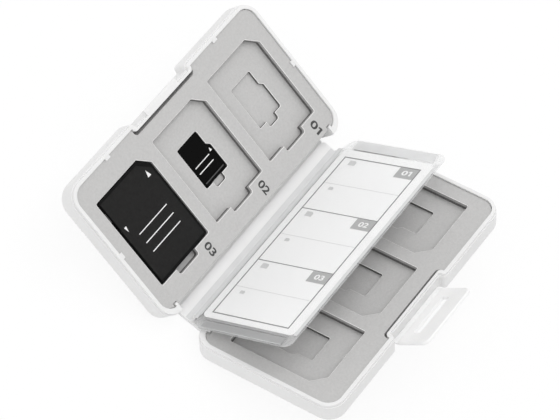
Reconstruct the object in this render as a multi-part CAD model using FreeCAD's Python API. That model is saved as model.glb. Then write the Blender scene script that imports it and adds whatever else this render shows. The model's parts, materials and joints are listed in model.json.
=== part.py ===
"""Clamshell case for memory cards: two shells on a folding spine, foam inserts, latch tab, index sleeve.

Each half is modelled lying flat in its own frame: x along the spine, y from its hinge axis to its front,
z from its outer skin to its inside. The whole part stands on its spine, half open, as an open book does:
origin on the middle of the spine's outer face, X along the spine, Z up, base on +Y, lid on -Y.
All sizes are in millimetres and degrees.
"""
import FreeCAD, Part
import math
import os

Vector = FreeCAD.Vector

# Shell halves
CASE_WIDTH = 94.4
SHELL_DEPTH = 51.2
WALL = 1.4
FLOOR = 1.2
CORNER_R = 6.0
EDGE_R = 0.9
LIP_HEIGHT = 1.0
LIP_INSET = 0.3
LIP_ABOVE_FOAM = 0.6
PARTING_GAP = 0.1

# Hooks that close the rear corners beside the spine
HOOK_LENGTH = 6.2
HOOK_WALL = 2.2
RETURN_LENGTH = 0.9
RETURN_REACH = 1.0

# Folding spine and its living hinges
FILM = 0.4
HINGE_GAP = 1.1
SPINE_END_GAP = 1.2
SPINE_CORNER_R = 1.5
FOLD_ANGLE = 23.3

# Foam insert layers, from the top down
SD_SINK = 0.25
MICRO_SINK = 0.1
BACKING_LAYER = 1.75
FOAM_GAP = 0.1
RELIEF_GAP = 0.25
BASE_RECESS_GAP = 0.85
LID_RECESS_GAP = 1.25

# Card sizes and the pockets cut for them
SD_WIDTH, SD_LENGTH, SD_THICK, SD_CUT = 24.0, 32.0, 2.1, 4.0
MICRO_WIDTH, MICRO_LENGTH, MICRO_THICK = 11.0, 15.0, 0.7
MICRO_EAR_STEP, MICRO_EAR_START, MICRO_EAR_END = 1.3, 5.1, 6.4
POCKET_CLEARANCE = 0.2
MICRO_CLEARANCE = 0.1
POCKET_COUNT = 3
POCKET_MARGIN_RATIO = 1.07
POCKET_R = 0.6
MICRO_OFFSET_X = -0.4
MICRO_OFFSET_Y = 0.1
NOTCH_DEPTH = 2.1
SD_NOTCH_WIDTH = 9.6
MICRO_NOTCH_WIDTH = 4.6
NOTCH_R = 0.8

# Small nibs on the lid's rim that hold the foam down
NIB_WIDTH, NIB_REACH, NIB_THICK = 2.0, 0.9, 0.45
FRONT_NIB_SHARE = 0.593
SIDE_NIB_SHARE = 0.5
NIB_ABOVE_FOAM = 0.05

# Latch recess, tab and catch bar
RECESS_WIDTH = 27.4
RECESS_DEPTH = 2.0
RECESS_WALL = 1.0
RECESS_R = 1.2
TAB_SIDE_GAP = 1.2
TAB_LENGTH = 13.0
TAB_THICK = 1.0
TAB_CORNER_R = 2.6
TAB_TIP_BEVEL = 0.3
TAB_WALL_GAP = 0.9
TAB_AXIS_Z = 1.2
TAB_ROOT = 0.6
TAB_FILM = 0.36
TAB_ANGLE = 34.0
CATCH_WIDTH = 15.6
CATCH_HEIGHT = 1.1
CATCH_REACH = 1.6
CATCH_BEVEL = 0.4
SLOT_CLEARANCE = 0.25
SLOT_ROOM = 1.55

# Index sleeve hinged on the rib of the spine
RIB_THICK = 0.9
RIB_END_GAP = 1.3
CREASE_Z = 4.2
CREASE_GAP = 0.3
SLEEVE_ANGLE = 44.75
STRIP_WIDTH = 1.3
STRIP_THICK = 0.25
STRIP_END_GAP = 0.3
SLEEVE_END_GAP = 3.5
SLEEVE_OFFSET_X = -0.5
SLEEVE_FREE_GAP = 4.0
SLEEVE_HINGE_R = 3.5
SLEEVE_FREE_R = 3.0
BACK_SHEET = 0.25
FRONT_FILM = 0.2
CARD_SPACE = 0.3
END_WELD = 4.6
HINGE_WELD = 0.6

# Index card in the sleeve
INDEX_THICK = 0.25
INDEX_GAP = 0.1
INDEX_EDGE_GAP = 1.7
INDEX_CORNER_R = 2.0

# Card adapter lying in the lid
ADAPTER_POCKET = 0
ADAPTER_BOTTOM = 1.0
ADAPTER_CORNER_R = 1.0
ADAPTER_RAIL = 0.7
ADAPTER_RAIL_STEP = 0.35
ADAPTER_BAY_SHORTFALL = 1.5
ADAPTER_BAY_HEIGHT = 1.0
LOCK_FROM_TOP = 4.0
LOCK_NOTCH_LENGTH = 6.6
LOCK_NOTCH_DEPTH = 0.8
LOCK_LENGTH = 3.4
LOCK_HEIGHT = 1.3
LOCK_GAP = 0.1
PAD_COUNT, PAD_LENGTH, PAD_THICK = 8, 3.8, 0.2
PAD_WIDTH_SHARE = 0.68
PAD_FROM_TOP = 1.6
PAD_FROM_SIDE = 0.9

# Small card lying in the lid
MICRO_POCKET = 1
MICRO_CORNER_R = 0.6
MICRO_RIDGE_WIDTH, MICRO_RIDGE_HEIGHT = 1.2, 0.3
MICRO_RIDGE_SETBACK = 0.2
MICRO_PAD_COUNT, MICRO_PAD_LENGTH, MICRO_PAD_THICK = 8, 2.8, 0.1
MICRO_PAD_WIDTH_SHARE = 0.65
MICRO_PAD_FROM_TOP = 0.7
MICRO_PAD_FROM_SIDE = 0.5

# Levels and lines that follow from the sizes above
SD_LAYER = SD_THICK + SD_SINK
MICRO_LAYER = MICRO_THICK + MICRO_RIDGE_HEIGHT + MICRO_SINK
OUTER_Z = -FILM
FLOOR_Z = OUTER_Z + FLOOR
MICRO_FLOOR_Z = FLOOR_Z + BACKING_LAYER
SD_FLOOR_Z = MICRO_FLOOR_Z + MICRO_LAYER
FOAM_TOP_Z = SD_FLOOR_Z + SD_LAYER
LIP_TOP_Z = FOAM_TOP_Z + LIP_ABOVE_FOAM
HINGE_Y = LIP_TOP_Z + PARTING_GAP / 2
HALF_WIDTH = CASE_WIDTH / 2
HOOK_END_X = HALF_WIDTH - HOOK_LENGTH
REAR_Y = OUTER_Z
FRONT_Y = REAR_Y + SHELL_DEPTH
HOOK_INNER_Y = REAR_Y + HOOK_WALL
RECESS_FLOOR_Y = FRONT_Y - RECESS_DEPTH
FRONT_NIB_X = FRONT_NIB_SHARE * HALF_WIDTH
SIDE_NIB_Y = REAR_Y + SIDE_NIB_SHARE * SHELL_DEPTH
TAB_WIDTH = RECESS_WIDTH - 2 * TAB_SIDE_GAP
TAB_AXIS_Y = RECESS_FLOOR_Y + TAB_WALL_GAP + TAB_THICK / 2
CATCH_LOW_Z = LIP_TOP_Z - CATCH_HEIGHT
SLOT_END = 2 * HINGE_Y - CATCH_LOW_Z + SLOT_CLEARANCE - TAB_AXIS_Z
SLOT_HEIGHT = SLOT_ROOM + CATCH_HEIGHT + SLOT_CLEARANCE
SLOT_LENGTH = CATCH_WIDTH + 2 * SLOT_CLEARANCE
SPINE_LENGTH = 2 * (HOOK_END_X - SPINE_END_GAP)
SPINE_WIDTH = 2 * (HINGE_Y - HINGE_GAP)
STRIP_LENGTH = SPINE_LENGTH - 2 * STRIP_END_GAP
SLEEVE_LENGTH = CASE_WIDTH - 2 * SLEEVE_END_GAP
SLEEVE_REACH = RECESS_FLOOR_Y - RECESS_WALL - SLEEVE_FREE_GAP - (CREASE_Z - FILM)
RIB_TOP_Z = CREASE_Z - CREASE_GAP
SLEEVE_START = CREASE_GAP + STRIP_WIDTH
SLEEVE_THICK = BACK_SHEET + CARD_SPACE + FRONT_FILM
SD_POCKET_WIDTH = SD_WIDTH + 2 * POCKET_CLEARANCE
SD_POCKET_LENGTH = SD_LENGTH + 2 * POCKET_CLEARANCE
FOAM_WIDTH = CASE_WIDTH - 2 * (WALL + FOAM_GAP)
FOAM_REAR_Y = HOOK_INNER_Y + FOAM_GAP
FOAM_FRONT_Y = FRONT_Y - WALL - FOAM_GAP
POCKET_GAP = (FOAM_WIDTH - POCKET_COUNT * SD_POCKET_WIDTH) / (POCKET_COUNT - 1 + 2 * POCKET_MARGIN_RATIO)
POCKET_PITCH = SD_POCKET_WIDTH + POCKET_GAP
FIRST_POCKET_X = -FOAM_WIDTH / 2 + POCKET_MARGIN_RATIO * POCKET_GAP
POCKET_REAR_Y = (FOAM_REAR_Y + FOAM_FRONT_Y - SD_POCKET_LENGTH) / 2
ADAPTER_BAY_LENGTH = MICRO_LENGTH - ADAPTER_BAY_SHORTFALL
PAD_PITCH = (SD_WIDTH - SD_CUT) / PAD_COUNT
PAD_WIDTH = PAD_WIDTH_SHARE * PAD_PITCH
MICRO_PAD_PITCH = (MICRO_WIDTH - MICRO_EAR_STEP - MICRO_PAD_FROM_SIDE) / MICRO_PAD_COUNT
MICRO_PAD_WIDTH = MICRO_PAD_WIDTH_SHARE * MICRO_PAD_PITCH
OVERCUT = 1.0
LEAST_R = 0.2


def rounded_wire(corners, z):
    """Closed wire through corners given as (x, y, radius), each rounded by a tangent arc."""
    count = len(corners)
    starts, ends, middles = [], [], []
    for i, (x, y, radius) in enumerate(corners):
        corner = Vector(x, y, z)
        to_last = Vector(*corners[i - 1][:2], z) - corner
        to_next = Vector(*corners[(i + 1) % count][:2], z) - corner
        to_last.normalize()
        to_next.normalize()
        half_angle = to_last.getAngle(to_next) / 2
        setback = radius / math.tan(half_angle)
        bisector = to_last + to_next
        bisector.normalize()
        starts.append(corner + to_last * setback)
        ends.append(corner + to_next * setback)
        middles.append(corner + bisector * (radius / math.sin(half_angle) - radius))
    edges = []
    for i, (_, _, radius) in enumerate(corners):
        if radius > 0:
            edges.append(Part.Arc(starts[i], middles[i], ends[i]).toShape())
        following = starts[(i + 1) % count]
        if ends[i].distanceToPoint(following) > 1e-6:
            edges.append(Part.LineSegment(ends[i], following).toShape())
    return Part.Wire(edges)


def plate(corners, low, high):
    """Flat plate with a rounded outline, from level low to level high."""
    face = Part.Face(rounded_wire(corners, low))
    return face.extrude(Vector(0, 0, high - low))


def box(x_low, x_high, y_low, y_high, z_low, z_high):
    """Plain box between two corners."""
    size = (x_high - x_low, y_high - y_low, z_high - z_low)
    return Part.makeBox(*size, Vector(x_low, y_low, z_low))


def rectangle(x_low, x_high, y_low, y_high, radius):
    """Corner list of a rectangle with one corner radius."""
    return [(x_low, y_low, radius), (x_high, y_low, radius),
            (x_high, y_high, radius), (x_low, y_high, radius)]


def prism(points, x_low, x_high):
    """Solid with a (y, z) polygon as its section, along x."""
    ring = [Vector(x_low, y, z) for y, z in points]
    face = Part.Face(Part.makePolygon(ring + ring[:1]))
    return face.extrude(Vector(x_high - x_low, 0, 0))


def fuse(shapes):
    """One solid from touching shapes, without the seams between them."""
    return shapes[0].multiFuse(shapes[1:]).removeSplitter()


def level_edges(shape, z):
    """Edges of a shape that lie flat at one level."""
    return [e for e in shape.Edges if abs(e.BoundBox.ZMin - z) < 1e-6 and abs(e.BoundBox.ZMax - z) < 1e-6]


def turned(shape, angle, y, z):
    """Copy of a shape turned about its own x axis, with that axis moved to (y, z)."""
    copy = shape.copy()
    copy.rotate(Vector(0, 0, 0), Vector(1, 0, 0), angle)
    copy.translate(Vector(0, y, z))
    return copy


def placed_base(shape):
    """A piece of the base half, folded up beside the spine on +Y."""
    return turned(shape, FOLD_ANGLE, HINGE_Y, FILM)


def placed_lid(shape):
    """A piece of the lid half, folded up beside the spine on -Y."""
    copy = placed_base(shape)
    copy.rotate(Vector(0, 0, 0), Vector(0, 0, 1), 180)
    return copy


def placed_strip(shape):
    """A piece that lies along the sleeve's crease, leaning over the base."""
    return turned(shape, SLEEVE_ANGLE, 0, CREASE_Z)


def placed_sleeve(shape):
    """A piece of the index sleeve, leaning over the base a little off the middle."""
    copy = placed_strip(shape)
    copy.translate(Vector(SLEEVE_OFFSET_X, 0, 0))
    return copy


def half_outline(inset, rear_inset, recess_inset):
    """Plan of a half, with the latch recess, drawn in by the given walls."""
    side = HALF_WIDTH - inset
    rear = REAR_Y + rear_inset
    front = FRONT_Y - inset
    mouth = RECESS_WIDTH / 2 + inset
    recess = RECESS_FLOOR_Y - recess_inset
    corner = CORNER_R - inset
    inner = RECESS_R / 2 + inset / 2
    outer = min(max(RECESS_R - inset, LEAST_R), front - recess - inner)
    return [(-side, rear, corner), (side, rear, corner), (side, front, corner), (mouth, front, outer),
            (mouth, recess, inner), (-mouth, recess, inner), (-mouth, front, outer), (-side, front, corner)]


def half_shell():
    """Tray of one half: floor, rim with its stepped lip, and rear hooks."""
    body = plate(half_outline(0, 0, 0), OUTER_Z, LIP_TOP_Z)
    body = body.makeFillet(EDGE_R, level_edges(body, OUTER_Z))
    inside = plate(half_outline(WALL, HOOK_WALL, RECESS_WALL), FLOOR_Z, LIP_TOP_Z + OVERCUT)
    step_z = LIP_TOP_Z - LIP_HEIGHT
    around = box(-CASE_WIDTH, CASE_WIDTH, REAR_Y - OVERCUT, FRONT_Y + OVERCUT, step_z, LIP_TOP_Z + OVERCUT)
    lip = plate(half_outline(LIP_INSET, LIP_INSET, LIP_INSET), step_z - OVERCUT, LIP_TOP_Z + 2 * OVERCUT)
    body = body.cut(inside).cut(around.cut(lip))
    rear = REAR_Y - OVERCUT
    hinge_cut = box(-HOOK_END_X, HOOK_END_X, rear, HINGE_GAP, OUTER_Z - OVERCUT, LIP_TOP_Z + OVERCUT)
    wall_cut = box(-HOOK_END_X, HOOK_END_X, rear, HOOK_INNER_Y, FLOOR_Z, LIP_TOP_Z + OVERCUT)
    body = body.cut(hinge_cut).cut(wall_cut)
    return fuse([body] + hook_returns())


def hook_returns():
    """Short inward returns at the ends of the two rear hooks."""
    returns = []
    for side in (-1, 1):
        ends = sorted((side * HOOK_END_X, side * (HOOK_END_X + RETURN_LENGTH)))
        y_high = HOOK_INNER_Y + RETURN_REACH
        returns.append(box(*ends, HOOK_INNER_Y - OVERCUT, y_high, FLOOR_Z, LIP_TOP_Z))
    return returns


def rim_nibs():
    """Two nibs on the front rim and one on each side, just over the foam."""
    low = FOAM_TOP_Z + NIB_ABOVE_FOAM
    high = low + NIB_THICK
    front = FRONT_Y - WALL
    side = HALF_WIDTH - WALL
    half = NIB_WIDTH / 2
    nibs = []
    for sign in (-1, 1):
        x = sign * FRONT_NIB_X
        nibs.append(box(x - half, x + half, front - NIB_REACH, front + WALL / 2, low, high))
        ends = sorted((sign * (side - NIB_REACH), sign * (side + WALL / 2)))
        nibs.append(box(*ends, SIDE_NIB_Y - half, SIDE_NIB_Y + half, low, high))
    return nibs


def catch_bar():
    """Bar along the top of the lid's recess wall, which the tab's slot snaps over."""
    root = RECESS_FLOOR_Y - RECESS_WALL / 2
    tip = RECESS_FLOOR_Y + CATCH_REACH
    section = [(root, CATCH_LOW_Z), (tip, CATCH_LOW_Z), (tip, LIP_TOP_Z - CATCH_BEVEL),
               (tip - CATCH_BEVEL, LIP_TOP_Z), (root, LIP_TOP_Z)]
    return prism(section, -CATCH_WIDTH / 2, CATCH_WIDTH / 2)


def pocket_xs():
    """Left edge of each card pocket."""
    return [FIRST_POCKET_X + i * POCKET_PITCH for i in range(POCKET_COUNT)]


def sd_pocket(x, low, high):
    """Pocket for a full-size card, with one cut corner and a finger notch at the rear."""
    right = x + SD_POCKET_WIDTH
    top = POCKET_REAR_Y + SD_POCKET_LENGTH
    outline = [(x, POCKET_REAR_Y, POCKET_R), (right, POCKET_REAR_Y, POCKET_R),
               (right, top - SD_CUT, POCKET_R), (right - SD_CUT, top, POCKET_R), (x, top, POCKET_R)]
    middle = x + SD_POCKET_WIDTH / 2
    notch = rear_notch(middle, POCKET_REAR_Y, SD_NOTCH_WIDTH, low, high)
    return fuse([plate(outline, low, high), notch])


def rear_notch(middle, y, width, low, high):
    """Finger notch behind a pocket's rear edge at y."""
    half = width / 2
    outline = rectangle(middle - half, middle + half, y - NOTCH_DEPTH, y + NOTCH_DEPTH, NOTCH_R)
    return plate(outline, low, high)


def micro_outline(x, y, grow, radius):
    """Outline of a small card with its stepped side, grown by a clearance."""
    left, rear = x - grow, y - grow
    right, top = x + MICRO_WIDTH + grow, y + MICRO_LENGTH + grow
    ear = right - MICRO_EAR_STEP
    return [(left, rear, radius), (right, rear, radius), (right, top - MICRO_EAR_END, radius / 2),
            (ear, top - MICRO_EAR_START, radius / 2), (ear, top, radius), (left, top, radius)]


def micro_corner(x):
    """Rear left corner of the small card that lies in the pocket whose left edge is x."""
    card_x = x + (SD_POCKET_WIDTH - MICRO_WIDTH) / 2 + MICRO_OFFSET_X
    card_y = POCKET_REAR_Y + (SD_POCKET_LENGTH - MICRO_LENGTH) / 2 + MICRO_OFFSET_Y
    return card_x, card_y


def micro_pocket(x, low, high):
    """Pocket for a small card in the floor of a full-size pocket, with its own finger notch."""
    card_x, card_y = micro_corner(x)
    body = plate(micro_outline(card_x, card_y, MICRO_CLEARANCE, POCKET_R), low, high)
    middle = card_x + MICRO_WIDTH / 2
    notch = rear_notch(middle, card_y - MICRO_CLEARANCE, MICRO_NOTCH_WIDTH, low, high)
    return fuse([body, notch])


def foam_blank(recess_gap, low, high):
    """Foam sheet cut to the inside of a half, relieved round the hook returns and behind the recess wall."""
    inset = WALL + FOAM_GAP
    sheet = plate(half_outline(inset, HOOK_WALL + FOAM_GAP, RECESS_WALL + recess_gap), low, high)
    for side in (-1, 1):
        ends = sorted((side * (HOOK_END_X - RELIEF_GAP), side * (HOOK_END_X + RETURN_LENGTH + RELIEF_GAP)))
        y_high = HOOK_INNER_Y + RETURN_REACH + RELIEF_GAP
        sheet = sheet.cut(box(*ends, HOOK_INNER_Y - OVERCUT, y_high, low - OVERCUT, high + OVERCUT))
    return sheet


def foam_layers(recess_gap):
    """The three foam sheets of one half: full-size card layer, small card layer and backing."""
    sd_layer = foam_blank(recess_gap, SD_FLOOR_Z, FOAM_TOP_Z)
    micro_layer = foam_blank(recess_gap, MICRO_FLOOR_Z, SD_FLOOR_Z)
    backing = foam_blank(recess_gap, FLOOR_Z, MICRO_FLOOR_Z)
    for x in pocket_xs():
        sd_layer = sd_layer.cut(sd_pocket(x, SD_FLOOR_Z - OVERCUT, FOAM_TOP_Z + OVERCUT))
        micro_layer = micro_layer.cut(micro_pocket(x, MICRO_FLOOR_Z - OVERCUT, SD_FLOOR_Z + OVERCUT))
    return {"sd_layer": sd_layer, "micro_layer": micro_layer, "backing": backing}


def hinge_film():
    """Thin web between the spine and one half, bent to the resting fold, along the half's hinge axis."""
    radius = HINGE_GAP / math.tan(math.radians(FOLD_ANGLE / 2))
    bend = math.radians(FOLD_ANGLE)

    def on_arc(reach, angle):
        y = -HINGE_GAP + reach * math.sin(angle)
        return Vector(-SPINE_LENGTH / 2, y, radius - reach * math.cos(angle))

    outer = radius + FILM
    edges = [Part.Arc(on_arc(radius, 0), on_arc(radius, bend / 2), on_arc(radius, bend)).toShape(),
             Part.LineSegment(on_arc(radius, bend), on_arc(outer, bend)).toShape(),
             Part.Arc(on_arc(outer, bend), on_arc(outer, bend / 2), on_arc(outer, 0)).toShape(),
             Part.LineSegment(on_arc(outer, 0), on_arc(radius, 0)).toShape()]
    web = Part.Face(Part.Wire(edges)).extrude(Vector(SPINE_LENGTH, 0, 0))
    web.translate(Vector(0, HINGE_Y, FILM))
    return web


def spine():
    """Flat strip between the two hinges, with a thin rib that carries the index sleeve."""
    half = SPINE_WIDTH / 2
    strip = plate(rectangle(-SPINE_LENGTH / 2, SPINE_LENGTH / 2, -half, half, SPINE_CORNER_R), 0, FLOOR)
    rib_end = SPINE_LENGTH / 2 - RIB_END_GAP
    rib = box(-rib_end, rib_end, -RIB_THICK / 2, RIB_THICK / 2, FLOOR / 2, RIB_TOP_Z)
    return fuse([strip, rib])


def latch_tab():
    """Flip tab with the slot that snaps over the catch bar, along y from its own axis."""
    half = TAB_WIDTH / 2
    outline = [(-half, TAB_ROOT, 0), (half, TAB_ROOT, 0), (half, TAB_LENGTH, TAB_CORNER_R),
               (-half, TAB_LENGTH, TAB_CORNER_R)]
    tab = plate(outline, -TAB_THICK / 2, TAB_THICK / 2)
    tip = [e for e in level_edges(tab, TAB_THICK / 2) if e.BoundBox.YMin > TAB_LENGTH - 1e-6]
    tab = tab.makeChamfer(TAB_TIP_BEVEL, tip + round_edges(tab, TAB_THICK / 2))
    slot = rectangle(-SLOT_LENGTH / 2, SLOT_LENGTH / 2, SLOT_END - SLOT_HEIGHT, SLOT_END, SLOT_CLEARANCE)
    return tab.cut(plate(slot, -TAB_THICK, TAB_THICK))


def round_edges(shape, z):
    """Round edges of a shape that lie flat at one level."""
    return [e for e in level_edges(shape, z) if e.Curve.TypeId == "Part::GeomCircle"]


def latch_film():
    """Thin web from the recess wall to the root of the tab."""
    half = TAB_WIDTH / 2
    angle = math.radians(TAB_ANGLE)
    thick = TAB_FILM / 2
    root_y, root_z = TAB_ROOT * math.cos(angle), TAB_ROOT * math.sin(angle)
    wall_y = RECESS_FLOOR_Y - TAB_AXIS_Y
    lean_y, lean_z = thick * math.sin(angle), thick * math.cos(angle)
    section = [(wall_y, -thick), (0, -thick), (root_y + lean_y, root_z - lean_z),
               (root_y - lean_y, root_z + lean_z), (0, thick), (wall_y, thick)]
    return turned(prism(section, -half, half), 0, TAB_AXIS_Y, TAB_AXIS_Z)


def sleeve_strip():
    """Narrow binding strip between the crease and the sleeve."""
    half = STRIP_LENGTH / 2
    return box(-half, half, CREASE_GAP, SLEEVE_START, -STRIP_THICK / 2, STRIP_THICK / 2)


def sleeve_root_film():
    """Thin web from the top of the rib to the strip, in place."""
    angle = math.radians(SLEEVE_ANGLE)
    thick = STRIP_THICK / 2
    near_y, near_z = CREASE_GAP * math.cos(angle), CREASE_Z + CREASE_GAP * math.sin(angle)
    lean_y, lean_z = thick * math.sin(angle), thick * math.cos(angle)
    section = [(-thick, RIB_TOP_Z), (thick, RIB_TOP_Z), (near_y + lean_y, near_z - lean_z),
               (near_y - lean_y, near_z + lean_z)]
    return prism(section, -STRIP_LENGTH / 2, STRIP_LENGTH / 2)


def sleeve_outline():
    """Outline of the sleeve, with larger corners beside the hinge."""
    half = SLEEVE_LENGTH / 2
    return [(-half, SLEEVE_START, SLEEVE_HINGE_R), (half, SLEEVE_START, SLEEVE_HINGE_R),
            (half, SLEEVE_REACH, SLEEVE_FREE_R), (-half, SLEEVE_REACH, SLEEVE_FREE_R)]


def sleeve_back_sheet():
    """Back sheet of the index sleeve."""
    low = -SLEEVE_THICK / 2
    return plate(sleeve_outline(), low, low + BACK_SHEET)


def sleeve_front_film():
    """Clear front film, welded to the back sheet along three sides and open at its free edge."""
    high = SLEEVE_THICK / 2
    low = high - FRONT_FILM - CARD_SPACE
    film = plate(sleeve_outline(), low, high)
    half = SLEEVE_LENGTH / 2 - END_WELD
    space = box(-half, half, SLEEVE_START + HINGE_WELD, SLEEVE_REACH + OVERCUT,
                low - OVERCUT, low + CARD_SPACE)
    return film.cut(space)


def index_card():
    """Paper index card that slides out of the sleeve's free edge."""
    half = SLEEVE_LENGTH / 2 - END_WELD - INDEX_GAP
    low = -SLEEVE_THICK / 2 + BACK_SHEET + (CARD_SPACE - INDEX_THICK) / 2
    outline = rectangle(-half, half, SLEEVE_START + HINGE_WELD + INDEX_GAP, SLEEVE_REACH - INDEX_EDGE_GAP,
                        INDEX_CORNER_R)
    return plate(outline, low, low + INDEX_THICK)


def adapter_corner():
    """Rear left corner of the adapter in its pocket."""
    return pocket_xs()[ADAPTER_POCKET] + POCKET_CLEARANCE, POCKET_REAR_Y + POCKET_CLEARANCE


def adapter_outline(side_inset):
    """Outline of the adapter with one cut corner, its sides drawn in."""
    x, y = adapter_corner()
    left, right = x + side_inset, x + SD_WIDTH - side_inset
    top = y + SD_LENGTH
    cut = SD_CUT - side_inset
    small = ADAPTER_CORNER_R / 2
    return [(left, y, ADAPTER_CORNER_R), (right, y, ADAPTER_CORNER_R), (right, top - cut, small),
            (right - cut, top, small), (left, top, ADAPTER_CORNER_R)]


def lock_span():
    """Lowest and highest y of the lock slider's notch."""
    top = adapter_corner()[1] + SD_LENGTH - LOCK_FROM_TOP
    return top - LOCK_NOTCH_LENGTH, top


def lock_notch():
    """Notch in the adapter's left side for the lock slider."""
    x = adapter_corner()[0]
    y_low, y_high = lock_span()
    return box(x - OVERCUT, x + LOCK_NOTCH_DEPTH, y_low, y_high, SD_FLOOR_Z - OVERCUT, FOAM_TOP_Z + OVERCUT)


def adapter_bay():
    """Bay in the adapter that takes a small card from its rear edge."""
    x, y = adapter_corner()
    middle = x + SD_WIDTH / 2
    half = MICRO_WIDTH / 2 + MICRO_CLEARANCE
    level = SD_FLOOR_Z + ADAPTER_BOTTOM
    rise = ADAPTER_BAY_HEIGHT / 2
    return box(middle - half, middle + half, y - OVERCUT, y + ADAPTER_BAY_LENGTH, level - rise, level + rise)


def adapter_pads(thick):
    """Row of contact pads under the adapter, each as thick as given."""
    x, y = adapter_corner()
    top = y + SD_LENGTH - PAD_FROM_TOP
    pads = []
    for i in range(PAD_COUNT):
        left = x + PAD_FROM_SIDE + i * PAD_PITCH
        pads.append(box(left, left + PAD_WIDTH, top - PAD_LENGTH, top, SD_FLOOR_Z, SD_FLOOR_Z + thick))
    return pads


def adapter_pieces():
    """Bottom shell, top shell, lock slider and contacts of the card adapter."""
    split = SD_FLOOR_Z + ADAPTER_BOTTOM
    top = SD_FLOOR_Z + SD_THICK
    rail = top - ADAPTER_RAIL_STEP
    bottom_shell = plate(adapter_outline(0), SD_FLOOR_Z, split).cut(lock_notch()).cut(adapter_bay())
    for pad in adapter_pads(PAD_THICK):
        bottom_shell = bottom_shell.cut(pad)
    raised = plate(adapter_outline(ADAPTER_RAIL), split, top)
    top_shell = fuse([plate(adapter_outline(0), split, rail), raised])
    top_shell = top_shell.cut(lock_notch()).cut(adapter_bay())
    x = adapter_corner()[0]
    high = lock_span()[1] - LOCK_GAP
    middle = SD_FLOOR_Z + (SD_THICK - ADAPTER_RAIL_STEP) / 2
    slider = box(x, x + LOCK_NOTCH_DEPTH - LOCK_GAP, high - LOCK_LENGTH, high,
                 middle - LOCK_HEIGHT / 2, middle + LOCK_HEIGHT / 2)
    return {"adapter_bottom_shell": bottom_shell, "adapter_top_shell": top_shell,
            "adapter_lock_slider": slider, "adapter_contacts": Part.makeCompound(adapter_pads(PAD_THICK))}


def micro_card_pieces():
    """Body and contacts of the small card in the lid."""
    x, y = micro_corner(pocket_xs()[MICRO_POCKET])
    low, high = MICRO_FLOOR_Z, MICRO_FLOOR_Z + MICRO_THICK
    body = plate(micro_outline(x, y, 0, MICRO_CORNER_R), low, high)
    ridge_y = y + MICRO_RIDGE_SETBACK
    ridge = box(x + MICRO_CORNER_R, x + MICRO_WIDTH - MICRO_CORNER_R, ridge_y, ridge_y + MICRO_RIDGE_WIDTH,
                high - MICRO_RIDGE_HEIGHT, high + MICRO_RIDGE_HEIGHT)
    body = fuse([body, ridge])
    top = y + MICRO_LENGTH - MICRO_PAD_FROM_TOP
    pads = []
    for i in range(MICRO_PAD_COUNT):
        left = x + MICRO_PAD_FROM_SIDE + i * MICRO_PAD_PITCH
        right = left + MICRO_PAD_WIDTH
        pads.append(box(left, right, top - MICRO_PAD_LENGTH, top, low, low + MICRO_PAD_THICK))
    for pad in pads:
        body = body.cut(pad)
    return {"micro_card_body": body, "micro_card_contacts": Part.makeCompound(pads)}


def turned_round(shape):
    """Copy of a shape turned half way round the vertical axis."""
    copy = shape.copy()
    copy.rotate(Vector(0, 0, 0), Vector(0, 0, 1), 180)
    return copy


def all_nodes():
    """Every node of the part by name, in its resting place."""
    shell = half_shell()
    nodes = {"spine": spine(),
             "base_shell": placed_base(shell),
             "lid_shell": placed_lid(fuse([shell, catch_bar()] + rim_nibs())),
             "base_hinge_film": hinge_film(),
             "lid_hinge_film": turned_round(hinge_film())}
    for layer, shape in foam_layers(BASE_RECESS_GAP).items():
        nodes["base_foam_" + layer] = placed_base(shape)
    for layer, shape in foam_layers(LID_RECESS_GAP).items():
        nodes["lid_foam_" + layer] = placed_lid(shape)
    nodes["latch_tab"] = placed_base(turned(latch_tab(), TAB_ANGLE, TAB_AXIS_Y, TAB_AXIS_Z))
    nodes["latch_hinge_film"] = placed_base(latch_film())
    nodes["sleeve_root_film"] = sleeve_root_film()
    nodes["sleeve_strip"] = placed_strip(sleeve_strip())
    nodes["sleeve_back_sheet"] = placed_sleeve(sleeve_back_sheet())
    nodes["sleeve_front_film"] = placed_sleeve(sleeve_front_film())
    nodes["index_card"] = placed_sleeve(index_card())
    for name, shape in {**adapter_pieces(), **micro_card_pieces()}.items():
        nodes[name] = placed_lid(shape)
    return nodes


os.makedirs("parts", exist_ok=True)
for name, shape in all_nodes().items():
    shape.exportStep("parts/" + name + ".step")
    print(f"{name}: {len(shape.Solids)} solids, {shape.Volume:.1f} mm3, valid {shape.isValid()}")
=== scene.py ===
import json
import math

import bmesh
import bpy
from mathutils import Matrix, Vector

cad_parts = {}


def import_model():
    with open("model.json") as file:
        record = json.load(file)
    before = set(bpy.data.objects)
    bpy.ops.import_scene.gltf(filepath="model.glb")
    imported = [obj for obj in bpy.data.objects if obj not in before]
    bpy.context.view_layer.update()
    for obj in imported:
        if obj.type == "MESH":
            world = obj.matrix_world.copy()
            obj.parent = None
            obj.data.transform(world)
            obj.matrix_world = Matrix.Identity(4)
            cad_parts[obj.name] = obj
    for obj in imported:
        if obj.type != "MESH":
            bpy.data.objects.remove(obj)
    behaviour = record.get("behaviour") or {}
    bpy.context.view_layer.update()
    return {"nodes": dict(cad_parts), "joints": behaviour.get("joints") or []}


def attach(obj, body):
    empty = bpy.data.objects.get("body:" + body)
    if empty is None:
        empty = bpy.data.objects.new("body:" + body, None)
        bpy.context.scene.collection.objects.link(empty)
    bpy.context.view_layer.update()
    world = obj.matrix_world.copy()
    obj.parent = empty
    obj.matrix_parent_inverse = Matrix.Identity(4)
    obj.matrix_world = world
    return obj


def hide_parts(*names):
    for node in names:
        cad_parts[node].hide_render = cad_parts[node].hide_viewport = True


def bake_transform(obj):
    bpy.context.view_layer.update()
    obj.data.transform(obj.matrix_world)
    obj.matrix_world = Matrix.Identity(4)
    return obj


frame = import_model()
nodes = frame["nodes"]
joints = {joint["name"]: joint for joint in frame["joints"]}

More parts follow.
